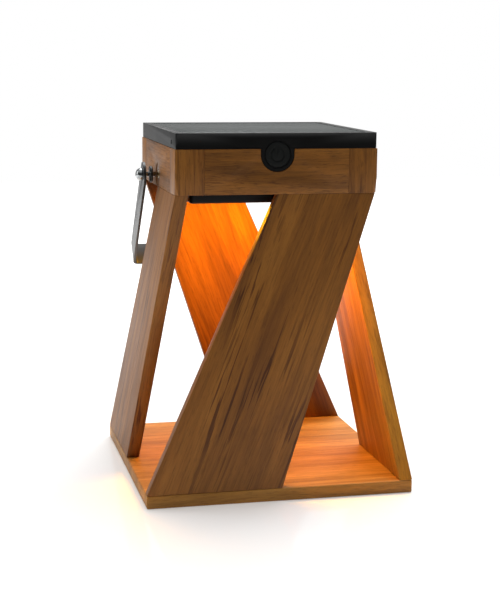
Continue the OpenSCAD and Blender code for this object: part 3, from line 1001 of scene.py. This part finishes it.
@dataclass
class LampModule:
    """The rim with its tab, the solar panel, the lamp housing and the button."""

    at: Layout
    plastic: Material
    rim_wall: float = 3 * MM
    rim_r: float = 1.5 * MM
    border: float = 8.5 * MM
    tray_r: float = 4 * MM
    tray_foot_r: float = 2.2 * MM
    tray_wall: float = 2.5 * MM
    tray_floor: float = 3 * MM
    boss_edge: float = 3.4 * MM
    boss_bore: float = 3.8 * MM
    window_half: float = 62 * MM
    groove_depth: float = 0.8 * MM
    flange_gap: float = 0.5 * MM
    flange_front: float = 3.3 * MM
    flange_back: float = 4.8 * MM
    bore_gap: float = 0.3 * MM
    bore_deep: float = 12 * MM
    ring_r: float = 6.5 * MM
    ring_line: float = 0.6 * MM
    mark_deep: float = 0.55 * MM
    mark_gap: float = 2.6 * MM
    mark_top: float = 7.5 * MM
    tab_gap: float = 1.5 * MM
    window_sunk: float = 0.5 * MM
    edge: float = 0.3 * MM
    window_edge: float = 0.15 * MM
    tray_edge: float = 0.4 * MM
    button_edge: float = 0.35 * MM

    def build(self) -> None:
        """Models the module's visible pieces."""
        self.cover()
        self.glass()
        self.tray()
        self.diffuser()
        self.button()

    def cover(self) -> None:
        """Models the rim: a shallow box with a sunk panel, and the tab around the button."""
        at = self.at
        half = at.rim_half
        rim = block("rim_moulded", (-half, -half, at.rim_z), (half, half, at.rim_top))
        round_edges(rim, upright, self.rim_r, 5)
        pocket = half - self.border
        under = at.button_z + at.flange_r + self.flange_gap
        well = block("well", (-pocket, -pocket, at.glass_low.z), (pocket, pocket, at.rim_top + MM))
        combine(rim, well, "DIFFERENCE")
        inside = half - self.rim_wall
        hollow = block("hollow", (-inside, -inside, at.rim_z - MM), (inside, inside, under))
        combine(rim, hollow, "DIFFERENCE")
        combine(rim, self.tab(under), "UNION")
        start = Vector((0, -half - MM, at.button_z))
        for radius, deep in (
                (at.button_r + self.bore_gap, self.bore_deep),
                (at.flange_r + self.flange_gap, self.groove_depth)):
            end = Vector((0, -half + deep, at.button_z))
            combine(rim, rod("bore", radius, start, end, 96), "DIFFERENCE")
        ease(rim, self.edge, 3)
        low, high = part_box("charge_window")
        slot = block("slot", low - Vector((MM, 0, 0)), high)
        combine(rim, slot, "DIFFERENCE")
        place_piece(rim, self.plastic, Body.MODULE, ["top_cover"])
        window = block("charge_window_sunk", low + Vector((self.window_sunk, 0, 0)), high)
        ease(window, self.window_edge, 2)
        # Smoked polycarbonate: a plain dark gap until the light behind it is on.
        smoked = Surface("smoked_window", "060707", "0a0b0b", roughness=0.4, texture_mm=2.0)
        place_piece(window, smoked.build(), Body.MODULE, ["charge_window"])

    def tab(self, top: float) -> Object:
        """Models the U-shaped tab that hangs in the front rail's notch.

        Args:
            top: The height where the tab joins the rim.

        Returns:
            The tab.
        """
        at = self.at
        front = -at.rim_half
        back = -at.tray_half - self.tab_gap
        tab = rod("tab", at.tab_r, (0, front, at.button_z), (0, back, at.button_z), 128)
        slice_off(tab, Vector((0, 0, at.button_z)), Vector((0, 0, 1)))
        upper = block("upper", (-at.tab_r, front, at.button_z), (at.tab_r, back, top + MM))
        return combine(tab, upper, "UNION")

    def glass(self) -> None:
        """Models the panel's glass, with ground edges, just clear of the cells below it."""
        at = self.at
        pane = block("panel_glass_ground", at.glass_low + Vector((0, 0, NEAR)), at.glass_high)
        ease(pane, self.edge, 2)
        # Tempered glass with a satin face: a soft grey sheen over dark cells.
        glass = PanelGlass("tempered_solar_glass")
        place_piece(pane, glass.build(), Body.MODULE, ["panel_glass"])

    def tray(self) -> None:
        """Models the lamp housing: a box with round corners and a square light window below."""
        at = self.at
        half = at.tray_half
        low = at.tray_low
        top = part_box("lamp_tray")[1].z
        tray = block("lamp_housing_moulded", (-half, -half, low), (half, half, top))
        round_edges(tray, upright, self.tray_r, 8)
        round_edges(tray, lambda a, b: max(a.z, b.z) < low + NEAR, self.tray_foot_r, 5)
        floor = low + self.tray_floor
        inner = half - self.tray_wall
        hollow = block("hollow", (-inner, -inner, floor), (inner, inner, top + MM))
        combine(tray, hollow, "DIFFERENCE")
        light = self.window_half
        window = block("window", (-light, -light, low - MM), (light, light, floor + MM))
        combine(tray, window, "DIFFERENCE")
        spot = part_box("tray_screws")[1].x - self.boss_edge
        for x in (-spot, spot):
            for y in (-spot, spot):
                hole = rod("hole", self.boss_bore, (x, y, low - MM), (x, y, floor + MM), 32)
                combine(tray, hole, "DIFFERENCE")
        ease(tray, self.tray_edge, 2)
        place_piece(tray, self.plastic, Body.MODULE, ["lamp_tray"])

    def diffuser(self) -> None:
        """Models the opal window, lit from behind."""
        low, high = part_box("diffuser")
        pane = block("diffuser_lit", low, high)
        ease(pane, self.edge, 2)
        # Opal acrylic: an even warm glow below, with no sight of the lamps.
        opal = LitOpal("lit_opal_acrylic", glow="ffc069", strength=2.5)
        place_piece(pane, opal.build(), Body.MODULE, ["diffuser"])

    def button(self) -> None:
        """Models the power button, with a flange inside and a sunk standby mark."""
        at = self.at
        front = -at.rim_half
        z = at.button_z
        cap = rod("power_button_soft", at.button_r, (0, front, z), (0, at.button_high.y, z), 96)
        flange_start = Vector((0, front + self.flange_front, z))
        flange = rod("flange", at.flange_r, flange_start, (0, front + self.flange_back, z), 96)
        combine(cap, flange, "UNION")
        combine(cap, self.standby_mark(front), "DIFFERENCE")
        ease(cap, self.button_edge, 3)
        # Soft-touch rubber: black with no shine, so that only the sunk mark reads.
        rubber = Surface(
            "soft_touch_rubber", "070a09", "0a0e0d", roughness=0.66, texture_mm=0.6, relief_mm=0.02,
            specular=0.24)
        place_piece(cap, rubber.build(), Body.BUTTON, ["power_button"])

    def standby_mark(self, front: float) -> Object:
        """Models the tool that sinks the mark: an open ring with an upright bar.

        Args:
            front: Where the button's face is along y.

        Returns:
            The tool.
        """
        ring_r = self.ring_r
        line = self.ring_line
        depth = self.mark_deep
        z = self.at.button_z
        mark = rod("mark", ring_r + line, (0, front - MM, z), (0, front + depth, z), 64)
        core = rod("core", ring_r - line, (0, front - 2 * MM, z), (0, front + MM, z), 64)
        combine(mark, core, "DIFFERENCE")
        wide = self.mark_gap
        gap = block("gap", (-wide, front - 2 * MM, z), (wide, front + MM, z + 2 * ring_r))
        combine(mark, gap, "DIFFERENCE")
        bar = block("bar", (-line, front - MM, z + MM), (line, front + depth, z + self.mark_top))
        return combine(mark, bar, "UNION")


# ---------------------------------------------------------------- handle


@dataclass
class CarryHandle:
    """The bent strap and the hardware that it turns on."""

    at: Layout
    width: float = 25 * MM
    thick: float = 2.5 * MM
    length: float = 157 * MM
    span: float = 230.8 * MM
    end_span: float = 217.6 * MM
    bend_r: float = 6 * MM
    bore_r: float = 2.58 * MM
    shank_r: float = 2.5 * MM
    shank_end: float = 88 * MM
    head_t: float = 6.7 * MM
    dome: float = 5.1 * MM
    key_r: float = 2.3 * MM
    key_deep: float = 3 * MM
    washer_t: float = 2.6 * MM
    edge: float = 0.4 * MM
    head_edge: float = 0.25 * MM
    washer_edge: float = 0.5 * MM

    def build(self) -> None:
        """Models the strap, the screws and the washers."""
        self.strap()
        self.screws()
        self.washers()

    @property
    def arm_lean(self) -> float:
        """Angle by which each arm leans inward."""
        return math.atan2((self.span - self.end_span) / 2, self.length)

    def strap(self) -> None:
        """Bends the strap: an arm, a bend, the cross bar, a bend and the other arm."""
        lean = self.arm_lean
        reach = self.length - self.bend_r
        bend_x = self.span / 2 - math.tan(lean) * reach - self.bend_r / math.cos(lean)
        tip = Vector((-self.span / 2 - math.tan(lean) * self.width / 2, -self.width / 2, 0))
        along = Vector((math.sin(lean), math.cos(lean), 0))
        inward = Vector((math.cos(lean), -math.sin(lean), 0))
        left_bend = Vector((-bend_x, reach, 0))
        arm = (left_bend - tip).dot(along)
        deselect()
        bpy.ops.mesh.primitive_plane_add(
            size=1, location=tip + inward * self.thick / 2, rotation=(-math.pi / 2, 0, -lean))
        strip = bpy.context.object
        strip.scale = (self.thick, self.width, 1)
        settle(strip, "strap_bent")
        bpy.ops.object.mode_set(mode="EDIT")
        bpy.ops.mesh.select_all(action="SELECT")
        self.push(along * arm)
        self.bend(left_bend, math.pi / 2 - lean)
        self.push(Vector((2 * bend_x, 0, 0)))
        self.bend(Vector((bend_x, reach, 0)), math.pi / 2 - lean)
        self.push(Vector((along.x, -along.y, 0)) * arm)
        bpy.ops.mesh.select_all(action="SELECT")
        bpy.ops.mesh.remove_doubles(threshold=0.01 * MM)
        bpy.ops.mesh.normals_make_consistent(inside=False)
        bpy.ops.object.mode_set(mode="OBJECT")
        self.round_ends(strip)
        ease(strip, self.edge, 3)
        swing = math.atan2(self.at.rest.z, self.at.rest.y)
        strip.data.transform(Matrix.Translation(self.at.pivot) @ Matrix.Rotation(swing, 4, "X"))
        # Powder coat on steel: near-black with a fine orange-peel that spreads the highlights.
        paint = Surface(
            "powder_coated_steel", "0e1111", "161919", roughness=0.4, texture_mm=0.5,
            relief_mm=0.012, variation=0.2)
        place_piece(strip, paint.build(), Body.HANDLE, ["carry_handle"])

    def push(self, run: Vector) -> None:
        """Extrudes the selected end of the strip by `run`."""
        bpy.ops.mesh.extrude_region_move(TRANSFORM_OT_translate={"value": run})

    def bend(self, centre: Vector, angle: float) -> None:
        """Spins the selected end of the strip around a bend's centre, by an angle in radians."""
        bpy.ops.mesh.spin(steps=10, angle=angle, center=centre, axis=(0, 0, 1))

    def round_ends(self, strip: Object) -> None:
        """Rounds the arms' free ends about the pivots, and drills them.

        Args:
            strip: The bent strap.
        """
        across = self.span
        keep = rod("keep", self.width / 2, (-across, 0, 0), (across, 0, 0), 96)
        rest = block("rest", (-across, 0, -self.width), (across, 2 * self.length, self.width))
        combine(keep, rest, "UNION")
        combine(strip, keep, "INTERSECT")
        combine(strip, rod("bore", self.bore_r, (-across, 0, 0), (across, 0, 0), 48), "DIFFERENCE")

    def screws(self) -> None:
        """Models a domed screw and its mirror image across the lantern."""
        low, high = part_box("pivot_screws")
        centre_z = self.at.pivot.z
        head_r = (high.z - low.z) / 2
        tip = high.x
        base = tip - self.head_t
        head = rod("pivot_screw_right", head_r, (base, 0, centre_z), (tip, 0, centre_z), 96)
        round_edges(head, lambda a, b: min(a.x, b.x) > tip - NEAR, self.dome, 16)
        key_start = Vector((tip - self.key_deep, 0, centre_z))
        key = rod("key", self.key_r, key_start, (tip + MM, 0, centre_z), 6)
        combine(head, key, "DIFFERENCE")
        shank_start = Vector((self.shank_end, 0, centre_z))
        shank = rod("shank", self.shank_r, shank_start, (base + MM, 0, centre_z), 48)
        combine(head, shank, "UNION")
        ease(head, self.head_edge, 3)
        # Polished stainless: a bright dome with a sharp highlight and dark surroundings in it.
        chrome = Surface(
            "polished_stainless", "8f9293", "a4a7a8", roughness=0.12, texture_mm=2.0, metallic=1.0)
        finish = chrome.build()
        other = turned_copy(head, "pivot_screw_left", Side.REAR)
        place_piece(head, finish, Body.STAND, ["pivot_screws"])
        place_piece(other, finish, Body.STAND, ["pivot_screws"])

    def washers(self) -> None:
        """Models the black washers on the shanks."""
        low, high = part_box("pivot_washers")
        centre_z = self.at.pivot.z
        radius = (high.z - low.z) / 2
        inner = Vector((high.x - self.washer_t, 0, centre_z))
        washer = rod("pivot_washer_right", radius, inner, (high.x, 0, centre_z), 72)
        ease(washer, self.washer_edge, 4)
        # Black nylon: a soft, waxy black.
        nylon = Surface(
            "black_nylon", "0c0d0d", "151616", roughness=0.4, texture_mm=1.0, relief_mm=0.01)
        finish = nylon.build()
        other = turned_copy(washer, "pivot_washer_left", Side.REAR)
        place_piece(washer, finish, Body.STAND, ["pivot_washers"])
        place_piece(other, finish, Body.STAND, ["pivot_washers"])


# ---------------------------------------------------------------- carried-over nodes


@dataclass(frozen=True)
class Inside:
    """Finishes for the CAD nodes that keep their own shape."""

    def finishes(self) -> list[tuple[list[str], Surface | Timber | CellFilm | LitOpal]]:
        """Pairs nodes with the finish that they wear.

        Returns:
            Node names, each list with its finish.
        """
        return [
            # Zinc plate: pale bluish metal with a soft shine.
            (["base_screws", "tray_screws", "board_screws"],
             Surface(
                 "zinc_plated_steel", "a9adb0", "bcc0c2",
                 roughness=0.3, texture_mm=0.8, relief_mm=0.01, metallic=1.0)),
            # Turned brass: warm yellow metal.
            (["pivot_inserts"],
             Surface(
                 "turned_brass", "b08d4a", "c29f5a",
                 roughness=0.28, texture_mm=0.6, relief_mm=0.01, metallic=1.0)),
            # Beech: pale, close-grained and dull, unlike the oiled boards.
            (["rail_dowels", "head_dowels"],
             Timber(
                 "beech_dowel", (0, 0, 1), (1, 0, 0), (0, 0, 0),
                 light="cfa876", middle="bd9461", dark="a67d4d", flame=0.1)),
            # Silicone: a dull black bead.
            (["panel_seal", "tray_seal"],
             Surface(
                 "black_silicone", "171818", "202121",
                 roughness=0.6, texture_mm=1.0, relief_mm=0.02)),
            # Polyester backing: an even off-white.
            (["panel_back"],
             Surface("panel_backing_film", "d8d8d4", "e6e6e2", roughness=0.5, texture_mm=2.0)),
            # Silicon cells: near-black blue with fine silver lines.
            (["solar_cells"], CellFilm("printed_solar_cells")),
            # Solder lacquer: glossy dark green.
            (["control_board", "switch_board", "charge_led"],
             Surface(
                 "circuit_board_lacquer", "1d4a31", "266040",
                 roughness=0.3, texture_mm=1.2, relief_mm=0.01)),
            # White solder mask: throws the light down through the diffuser.
            (["led_board"],
             Surface("white_solder_mask", "dededb", "ecece9", roughness=0.35, texture_mm=1.5)),
            # Phosphor: lit a warm yellow.
            (["led_chips"], LitOpal("led_phosphor", glow="ffd27a", strength=4.0)),
            # Uncoloured ABS: a milky grey-white.
            (["inner_shelf", "battery_cradle"],
             Surface(
                 "natural_abs", "cbcbc6", "dadad6",
                 roughness=0.5, texture_mm=1.0, relief_mm=0.02)),
            # Shrink sleeve: tight, shiny blue film.
            (["battery_cells"],
             Surface("battery_sleeve", "27528c", "3364a6", roughness=0.25, texture_mm=3.0)),
            # Epoxy bodies: dull charcoal.
            (["board_parts", "tact_switch"],
             Surface(
                 "moulded_epoxy", "232325", "303033",
                 roughness=0.45, texture_mm=0.8, relief_mm=0.02)),
            # Wire insulation: smooth red PVC.
            (["panel_leads", "battery_leads", "lamp_leads", "switch_leads"],
             Surface("wire_insulation", "9c2b24", "b8362d", roughness=0.4, texture_mm=1.0)),
        ]

    def build(self) -> None:
        """Dresses every CAD node that keeps its shape."""
        for names, finish in self.finishes():
            material = finish.build()
            for name in names:
                node = NODES[name]
                node.data.materials.clear()
                node.data.materials.append(material)
                log.info("node %s wears %s", name, material.name)


# ---------------------------------------------------------------- studio


@dataclass(frozen=True)
class SoftBox:
    """A rectangular light that faces a place."""

    name: str
    size: tuple[float, float]
    place: tuple[float, float, float]
    aim: tuple[float, float, float]
    power: float
    colour: tuple[float, float, float]

    def hang(self) -> Object:
        """Makes the light, and points it.

        Returns:
            The light.
        """
        light = bpy.data.lights.new(self.name, "AREA")
        light.shape = "RECTANGLE"
        light.size, light.size_y = self.size
        light.energy = self.power
        light.color = self.colour
        holder = bpy.data.objects.new(self.name, light)
        bpy.context.scene.collection.objects.link(holder)
        holder.location = self.place
        facing = Vector(self.aim) - Vector(self.place)
        holder.rotation_euler = facing.to_track_quat("-Z", "Y").to_euler()
        return holder


@dataclass(frozen=True)
class Studio:
    """The pale floor, the soft light, the lantern's own light and the camera."""

    at: Layout
    camera_place: tuple[float, float, float] = (-0.3351, -1.4115, 0.4334)
    azimuth: float = 13.25
    pitch: float = 9.95
    roll: float = 0.49
    focal_mm: float = 85.45
    lamp_power: float = 1.28
    lamp_side: float = 0.124
    lamp_lift: float = 0.4 * MM
    lamp_colour: tuple[float, float, float] = (1.0, 0.44, 0.0)

    def build(self) -> None:
        """Sets up everything that isn't part of the object."""
        self.floor()
        self.world()
        self.lights()
        self.lamp()
        self.camera()
        bpy.context.scene.view_settings.view_transform = "Standard"

    def floor(self) -> None:
        """Lays the pale floor, which glows more with distance, so that no horizon shows."""
        deselect()
        bpy.ops.mesh.primitive_plane_add(size=1, location=(0, 1.2, 0))
        floor = bpy.context.object
        floor.scale = (5, 4, 1)
        settle(floor, "studio_floor")
        # Satin laminate: near-white, with a faint mirror image of the boards' feet.
        material, tree, shader, coords = start_material("satin_white_laminate")
        cloud = add_node(tree, "ShaderNodeTexNoise", {"Vector": coords}, scale=3.0, detail=1.0)
        white = add_node(tree, "ShaderNodeValToRGB", {"Fac": cloud.outputs["Fac"]}, stops=[
            (0.3, linear("f1f0ef")), (0.7, linear("f6f5f4"))])
        reach = add_node(
            tree, "ShaderNodeVectorMath", {0: coords}, operation="LENGTH").outputs["Value"]
        glow = add_node(
            tree, "ShaderNodeMapRange", {"Value": reach}, from_min=0.45, from_max=1.1,
            to_min=0.16, to_max=0.9)
        feed(tree, shader, {
            "Base Color": white.outputs[0], "Roughness": 0.08, "Specular IOR Level": 0.45,
            "Emission Color": (1, 1, 1, 1), "Emission Strength": glow.outputs[0]})
        floor.data.materials.append(material)

    def world(self) -> None:
        """Surrounds the scene with white that is bright behind and overhead, and dim in front."""
        world = bpy.data.worlds.new("studio")
        bpy.context.scene.world = world
        world.use_nodes = True
        tree = world.node_tree
        tree.nodes.clear()
        coords = add_node(tree, "ShaderNodeTexCoord").outputs["Generated"]
        split = add_node(tree, "ShaderNodeSeparateXYZ", {"Vector": coords})
        depth = add_node(
            tree, "ShaderNodeMapRange", {"Value": split.outputs["Y"]}, from_min=-0.3, from_max=0.6,
            to_min=0.07, to_max=0.45)
        height = add_node(
            tree, "ShaderNodeMapRange", {"Value": split.outputs["Z"]}, from_min=0.35, from_max=1.0,
            to_min=0.0, to_max=1.1)
        level = add_node(
            tree, "ShaderNodeMath", {0: depth.outputs[0], 1: height.outputs[0]}, operation="MAXIMUM")
        lit = add_node(
            tree, "ShaderNodeBackground", {"Strength": level.outputs[0]}, color=(1, 1, 1, 1))
        seen = add_node(tree, "ShaderNodeBackground", color=(1, 1, 1, 1), strength=1.0)
        path = add_node(tree, "ShaderNodeLightPath")
        mix = add_node(tree, "ShaderNodeMixShader", {
            0: path.outputs["Is Camera Ray"], 1: lit.outputs[0], 2: seen.outputs[0]})
        add_node(tree, "ShaderNodeOutputWorld", {"Surface": mix.outputs[0]})

    def lights(self) -> None:
        """Hangs a soft box overhead and one to the left."""
        middle = (0, 0, 0.18)
        SoftBox("overhead_box", (1.8, 1.8), (0.5, 0.8, 2.0), middle, 56, (1, 1, 1)).hang()
        SoftBox("left_box", (0.9, 1.4), (-1.9, 0.5, 0.9), middle, 9, (1, 0.99, 0.97)).hang()

    def lamp(self) -> None:
        """Puts the lantern's warm light under the diffuser, so that it moves with the module."""
        size = (self.lamp_side, self.lamp_side)
        height = self.at.tray_low + self.lamp_lift
        glow = SoftBox(
            "lamp_glow", size, (0, 0, height), (0, 0, height - 1), self.lamp_power, self.lamp_colour)
        glow.hang().parent = BODIES[Body.MODULE.value]

    def camera(self) -> None:
        """Places the camera at the front, a little to the left and above."""
        around = math.radians(self.azimuth)
        down = math.radians(self.pitch)
        tip = math.radians(self.roll)
        level = math.cos(down)
        ahead = Vector((math.sin(around) * level, math.cos(around) * level, -math.sin(down)))
        right = Vector((math.cos(around), -math.sin(around), 0))
        up = right.cross(ahead)
        level_right = right * math.cos(tip) + up * math.sin(tip)
        level_up = up * math.cos(tip) - right * math.sin(tip)
        turn = Matrix((level_right, level_up, -ahead)).transposed()
        lens = bpy.data.cameras.new("front_camera")
        lens.lens = self.focal_mm
        lens.clip_end = 20
        holder = bpy.data.objects.new("front_camera", lens)
        bpy.context.scene.collection.objects.link(holder)
        holder.matrix_world = Matrix.Translation(self.camera_place) @ turn.to_4x4()
        bpy.context.scene.camera = holder


def main() -> None:
    """Builds the sub-assemblies in order."""
    logging.basicConfig(level=logging.INFO, format="%(name)s: %(message)s")
    at = Layout.from_frame()
    # Spark-eroded black ABS: deep black with a satin sheen at a low angle.
    plastic = Surface(
        "moulded_black_abs", "080808", "0b0b0b", roughness=0.42, texture_mm=0.45, relief_mm=0.006,
        variation=0.08, specular=0.24).build()
    Studio(at).build()
    TimberFrame(at).build()
    LampModule(at, plastic).build()
    CarryHandle(at).build()
    Inside().build()


if __name__ == "__main__":
    main()
